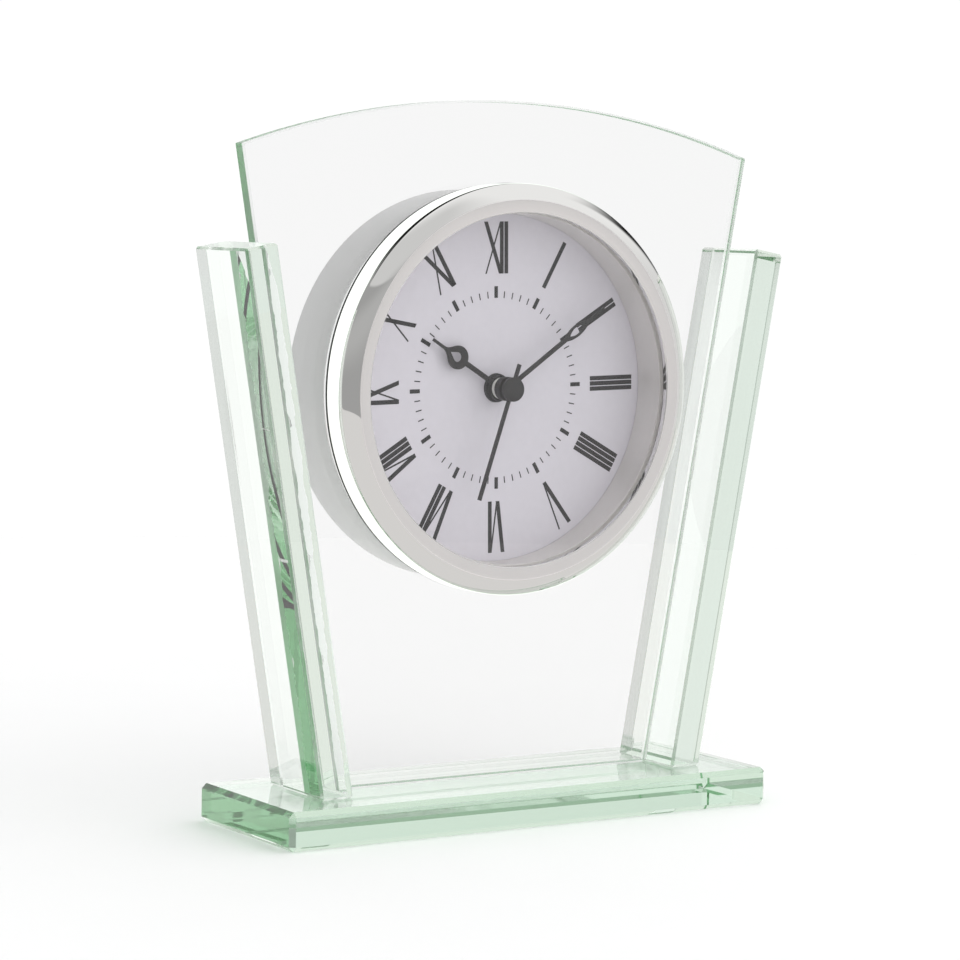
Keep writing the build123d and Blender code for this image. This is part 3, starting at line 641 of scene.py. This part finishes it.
def make_bezel():
    """Bezel: straight side, rounded edge, bulged bevel, flat rim and the crystal's seat as one section, turned round.

    The bevel is a parabola whose crown is twice the bulge outside the chord from side to rim. The corners at its
    ends are cubic curves that are tangent to both neighbours.
    """
    lens_low, lens_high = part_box("lens")
    seat = lens_high.x + seat_gap
    seat_back = drum_low.y - seat_gap
    bore = drum_high.x + seat_gap
    lip_back = lens_low.y - seat_gap
    side = np.array([bezel_high.x, bevel_edge])
    rim = np.array([rim_outer, bezel_low.y])
    lip = np.array([rim_inner, bezel_low.y + rim_slope])
    chord = rim - side
    length = np.linalg.norm(chord)
    crown = (side + rim) / 2 + 2 * bezel_bulge * np.array([-chord[1], chord[0]]) / length
    start, end = edge_rounding / length, 1 - rim_rounding / length
    t = np.linspace(start, end, bevel_steps)[:, None]
    bevel = (1 - t) ** 2 * side + 2 * t * (1 - t) * crown + t ** 2 * rim
    corners = [rim, lip, (rim_inner, lip_back), (seat, lip_back), (seat, seat_back), (bore, seat_back),
               (bore, bezel_high.y), (bezel_high.x, bezel_high.y), side]
    inner = softened(corners, seat_roundings, corner_steps)[corner_steps:-corner_steps]
    rim_flat = rim + (lip - rim) / np.linalg.norm(lip - rim) * rim_rounding
    rim_corner = swept_corner(bevel[-1], crown + end * (rim - crown), rim, rim_flat, corner_steps)
    side_flat = side + np.array([0.0, edge_rounding])
    supports = [(bezel_high.x, bezel_high.y - 2 * flat_margin), side_flat + np.array([0.0, flat_margin])]
    side_corner = swept_corner(side_flat, side, side + start * (crown - side), bevel[0], 2 * corner_steps)
    points, faces = turned(np.concatenate([rim_corner, inner, supports, side_corner, bevel[1:-1]]))
    column = faces % points.shape[1]
    return points, faces, {"satin": column.max(1) <= corner_steps}


def make_reflector():
    """Thin wall between crystal and dial with a flange on the dial: its L-shaped section turned round."""
    low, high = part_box("reflector_ring")
    inner = rim_inner - reflector_inset
    outer = inner + reflector_wall
    step = high.y - reflector_flange
    section = [(inner, low.y), (outer, low.y), (outer, step), (high.x, step), (high.x, high.y), (inner, high.y)]
    return turned(softened(section, reflector_rounding))


def make_crystal():
    """Flat disc with chamfered edges: its half section turned round."""
    low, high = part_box("lens")
    c = lens_chamfer
    return turned([(0.0, low.y), (high.x - c, low.y), (high.x, low.y + c), (high.x, high.y - c), (high.x - c, high.y),
                   (0.0, high.y)])


def make_drum():
    """Thin cylinder with rounded lips: the section of its wall turned round."""
    inner = drum_high.x - drum_wall
    section = [(drum_high.x, drum_low.y), (drum_high.x, drum_high.y), (inner, drum_high.y), (inner, drum_low.y)]
    return turned(softened(section, drum_rounding))


bezel_points, bezel_faces, bezel_marks = make_bezel()
add_piece("bezel_ring", bezel_points, bezel_faces, "case", "polished_chrome", ["bezel"], 40.0, bezel_marks)
add_piece("reflector_wall", *make_reflector(), "case", "reflector_silver", ["reflector_ring"])
add_piece("crystal_disc", *make_crystal(), "case", "crystal_glass", ["lens"])
add_piece("drum_shell", *make_drum(), "case", "satin_steel", ["drum_case"])


def numeral_strokes(letters):
    """Strokes of one Roman numeral as (foot, head, width), placed side by side and centred."""
    strokes = []
    cursor = 0.0
    for k, letter in enumerate(letters):
        if k:
            cursor += bar_pitch if letters[k - 1] == letter == "I" else letter_gap
        if letter == "I":
            strokes.append((cursor, cursor, thick_stroke))
        elif letter == "V":
            strokes.append((cursor + v_thick_run, cursor, thick_stroke))
            strokes.append((cursor + v_span - v_thin_run, cursor + v_span, thin_stroke))
            cursor += v_span
        else:
            strokes.append((cursor + x_span, cursor, thick_stroke))
            strokes.append((cursor, cursor + x_span, thin_stroke))
            cursor += x_span
    return np.array(strokes) - np.array([cursor / 2, cursor / 2, 0.0])


def printed(quads, angles, thickness):
    """Raised ink: quads of (across, out) points, each turned clockwise to its angle, as thin prisms on the dial."""
    turn = np.radians(angles - insert_turn)[:, None]
    across = quads[..., 0]
    out = quads[..., 1]
    x = out * np.sin(turn) + across * np.cos(turn)
    z = head_z + out * np.cos(turn) - across * np.sin(turn)
    depth = np.broadcast_to(dial_low.y - thickness[:, None], x.shape)
    front = np.stack([x, depth, z], -1)
    back = np.stack([x, np.full_like(x, dial_low.y), z], -1)
    points = np.concatenate([front, back], 1)
    sides = np.array([(0, 1, 2, 3), (7, 6, 5, 4), (0, 4, 5, 1), (1, 5, 6, 2), (2, 6, 7, 3), (3, 7, 4, 0)])
    faces = (np.arange(len(points))[:, None, None] * 8 + sides[None]).reshape(-1, 4)
    return points, faces


def make_numerals():
    """All twelve numerals, their strokes running from the inner to the outer radius."""
    words = ["XII", "I", "II", "III", "IIII", "V", "VI", "VII", "VIII", "IX", "X", "XI"]
    strokes = [numeral_strokes(word) for word in words]
    angles = np.repeat(np.arange(12) * 30.0, [len(s) for s in strokes])
    foot, head, width = np.concatenate(strokes).T
    low = np.full(len(foot), numeral_inner)
    high = low + numeral_height
    quads = np.stack([np.stack([foot - width / 2, low], -1), np.stack([foot + width / 2, low], -1),
                      np.stack([head + width / 2, high], -1), np.stack([head - width / 2, high], -1)], 1)
    return printed(quads, angles, np.where(width < thick_stroke, hair_ink_thickness, ink_thickness))


def make_minute_track():
    """Sixty ticks that share an inner radius, every fifth one longer and thicker."""
    number = np.arange(60)
    fifth = number % 5 == 0
    length = np.where(fifth, five_minute_tick[0], minute_tick[0])
    half = np.where(fifth, five_minute_tick[1], minute_tick[1]) / 2
    low = np.full(60, track_inner)
    high = low + length
    quads = np.stack([np.stack([-half, low], -1), np.stack([half, low], -1), np.stack([half, high], -1),
                      np.stack([-half, high], -1)], 1)
    return printed(quads, number * 6.0, np.full(60, ink_thickness))


add_piece("numerals", *make_numerals(), "case", "printed_ink")
add_piece("minute_track", *make_minute_track(), "case", "printed_ink")


# Stage, light and camera


def make_floor():
    """Round pale paper just under the base; mirrors and rays deep in glass see it as a painted glow instead of lit
    paper, dimmer in front of the clock as painted shade and brighter behind as painted light.
    """
    turn = np.linspace(0, 2 * math.pi, round_steps, endpoint=False)
    points = np.stack([paper_reach * np.cos(turn), paper_reach * np.sin(turn), np.full(round_steps, -paper_drop)], -1)
    mesh = bpy.data.meshes.new("floor")
    mesh.from_pydata(points.tolist(), [], [list(range(round_steps))])
    floor = bpy.data.objects.new("floor", mesh)
    bpy.context.scene.collection.objects.link(floor)
    made, tree, shader = start_material("floor_paper", Roughness=0.9)
    grain = use_group(tree, grain_group, 400.0)
    shade_colours(tree, shader, grain.outputs["Shade"], (0.89, 0.89, 0.89, 1), (0.91, 0.91, 0.91, 1))
    place = add_node(tree, "ShaderNodeSeparateXYZ", {0: add_node(tree, "ShaderNodeTexCoord").outputs["Object"]})
    # Painted glow: for mirror rays and rays deep in glass the paper emits light, dimmer in front of the clock as
    # painted shade and brighter behind as painted light
    glow_in_mirrors = ramp(tree, place.outputs["Y"], base_low.y, base_high.y, paper_front_glow, paper_back_glow)
    glow_in_glass = ramp(tree, place.outputs["Y"], base_low.y, base_high.y, *paper_glass_glows)
    path = add_node(tree, "ShaderNodeLightPath").outputs
    level = ramp(tree, path["Is Reflection Ray"], 0.0, 1.0, glow_in_glass, glow_in_mirrors)
    painted_glow = add_node(tree, "ShaderNodeEmission", {"Color": (1.0, 0.985, 0.975, 1.0), "Strength": level})
    undiffused = math_node(tree, "LESS_THAN", path["Diffuse Depth"], inside_bends)
    deep = math_node(tree, "GREATER_THAN", path["Ray Depth"], deep_paper_bends)
    by_glass = math_node(tree, "MAXIMUM", path["Is Reflection Ray"], deep)
    painted_glow_mask = math_node(tree, "MULTIPLY", by_glass, undiffused)
    both = add_node(tree, "ShaderNodeMixShader", {0: painted_glow_mask, 1: shader.outputs[0], 2: painted_glow.outputs[0]})
    tree.links.new(both.outputs[0], tree.nodes["Material Output"].inputs["Surface"])
    made.cycles.emission_sampling = "NONE"
    floor.data.materials.append(made)


def make_world():
    """White studio surround: mirrors see it with its places, and matt surfaces see it stronger towards the key.

    A place is a band of compass angle times a band of height, each slanted by a share of the other. The front
    compass is 0 in front of the dial and the back compass is 0 behind it; both grow to the right.
    """
    world = bpy.data.worlds.new("studio")
    bpy.context.scene.world = world
    world.use_nodes = True
    world.cycles.sampling_method = "NONE"
    tree = world.node_tree
    way = add_node(tree, "ShaderNodeTexCoord").outputs["Generated"]
    part = add_node(tree, "ShaderNodeSeparateXYZ", {0: way}).outputs
    forward = math_node(tree, "MULTIPLY", part["Y"], -1.0)
    compass = {"front": math_node(tree, "ARCTAN2", part["X"], forward),
               "back": math_node(tree, "ARCTAN2", part["X"], part["Y"])}
    height = math_node(tree, "ARCSINE", part["Z"])

    def slanted(value, other, share):
        return math_node(tree, "ADD", value, math_node(tree, "MULTIPLY", other, share))

    def rise(value, middle, soft):
        step = add_node(tree, "ShaderNodeMapRange", {"Value": value, "From Min": math.radians(middle - soft),
                                                     "From Max": math.radians(middle + soft)},
                        interpolation_type="SMOOTHSTEP")
        return step.outputs["Result"]

    mirror_level = glass_level = 1.0
    for side, (left, right, soft), (foot, foot_soft, head, head_soft), slants, levels in surround:
        across = slanted(compass[side], height, slants[0])
        up = slanted(height, compass[side], slants[1])
        sides = math_node(tree, "SUBTRACT", rise(across, left, soft), rise(across, right, soft))
        heights = math_node(tree, "SUBTRACT", rise(up, foot, foot_soft), rise(up, head, head_soft))
        weight = math_node(tree, "MULTIPLY", sides, heights)
        mirror_level = ramp(tree, weight, 0.0, 1.0, mirror_level, levels[0])
        glass_level = ramp(tree, weight, 0.0, 1.0, glass_level, levels[1])
    path = add_node(tree, "ShaderNodeLightPath").outputs
    deep = math_node(tree, "GREATER_THAN", path["Ray Depth"], deep_surround_bends)
    through_glass = ramp(tree, deep, 0.0, 1.0, backdrop_level, glass_level)
    looked_at = ramp(tree, path["Is Reflection Ray"], 0.0, 1.0, through_glass, mirror_level)
    towards_key = add_node(tree, "ShaderNodeVectorMath", {0: way, 1: key_way}, operation="DOT_PRODUCT")
    weakest, strongest = fill_light * (1 - key_share), fill_light * (1 + key_share)
    matt = ramp(tree, towards_key.outputs["Value"], -1.0, 1.0, weakest, strongest)
    diffused = math_node(tree, "GREATER_THAN", path["Diffuse Depth"], inside_bends)
    tree.links.new(ramp(tree, diffused, 0.0, 1.0, looked_at, matt), tree.nodes["Background"].inputs["Strength"])
    tree.nodes["Background"].inputs["Color"].default_value = clear


def make_camera():
    """Camera at the photograph's place; its axes come from yaw, pitch and roll."""
    yaw, pitch, roll = (math.radians(a) for a in (camera_yaw, camera_pitch, camera_roll))
    ahead = Vector((-math.sin(yaw) * math.cos(pitch), math.cos(yaw) * math.cos(pitch), -math.sin(pitch)))
    level = Vector((math.cos(yaw), math.sin(yaw), 0.0))
    above = level.cross(ahead)
    right = math.cos(roll) * level + math.sin(roll) * above
    up = -math.sin(roll) * level + math.cos(roll) * above
    lens = bpy.data.cameras.new("camera")
    lens.sensor_width = sensor_width
    lens.lens = focal_pixels / photo_pixels * sensor_width
    lens.clip_start = 0.01
    camera = bpy.data.objects.new("camera", lens)
    bpy.context.scene.collection.objects.link(camera)
    turn = Matrix((right, up, -ahead)).transposed().to_4x4()
    camera.matrix_world = Matrix.Translation(camera_place) @ turn
    bpy.context.scene.camera = camera


make_floor()
make_world()
make_camera()

cycles = bpy.context.scene.cycles
cycles.max_bounces = 96
cycles.transmission_bounces = 96
cycles.glossy_bounces = 96
cycles.transparent_max_bounces = 48
cycles.blur_glossy = 0.0
cycles.use_denoising = True
bpy.context.scene.view_settings.view_transform = "Standard"
